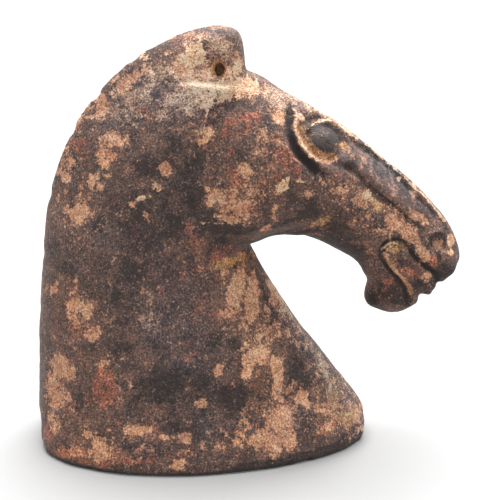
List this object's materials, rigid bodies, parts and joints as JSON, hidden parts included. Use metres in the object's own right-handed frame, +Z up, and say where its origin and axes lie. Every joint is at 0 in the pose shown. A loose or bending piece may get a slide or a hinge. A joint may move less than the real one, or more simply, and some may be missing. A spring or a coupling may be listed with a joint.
{
  "type": "terracotta horse head sculpture",
  "caption": "Weathered terracotta head and neck of a horse, moulded in one hollow piece with parted lips and empty ear sockets, standing on the flat foot of its neck.",
  "frame": {"origin": "on the flat underside of the neck, at the middle of its length and of its width", "axes": "+Z up from the underside; +X towards the nose; +Y to the horse's left, across the mirror plane"},
  "size_m": [0.2814, 0.1318, 0.276],
  "materials": {
    "terracotta": "unglazed and worn, orange-brown clay under patches of black-brown patina and cream crust"
  },
  "bodies": {
    "root": {"horse_head": "terracotta"}
  },
  "joints": []
}
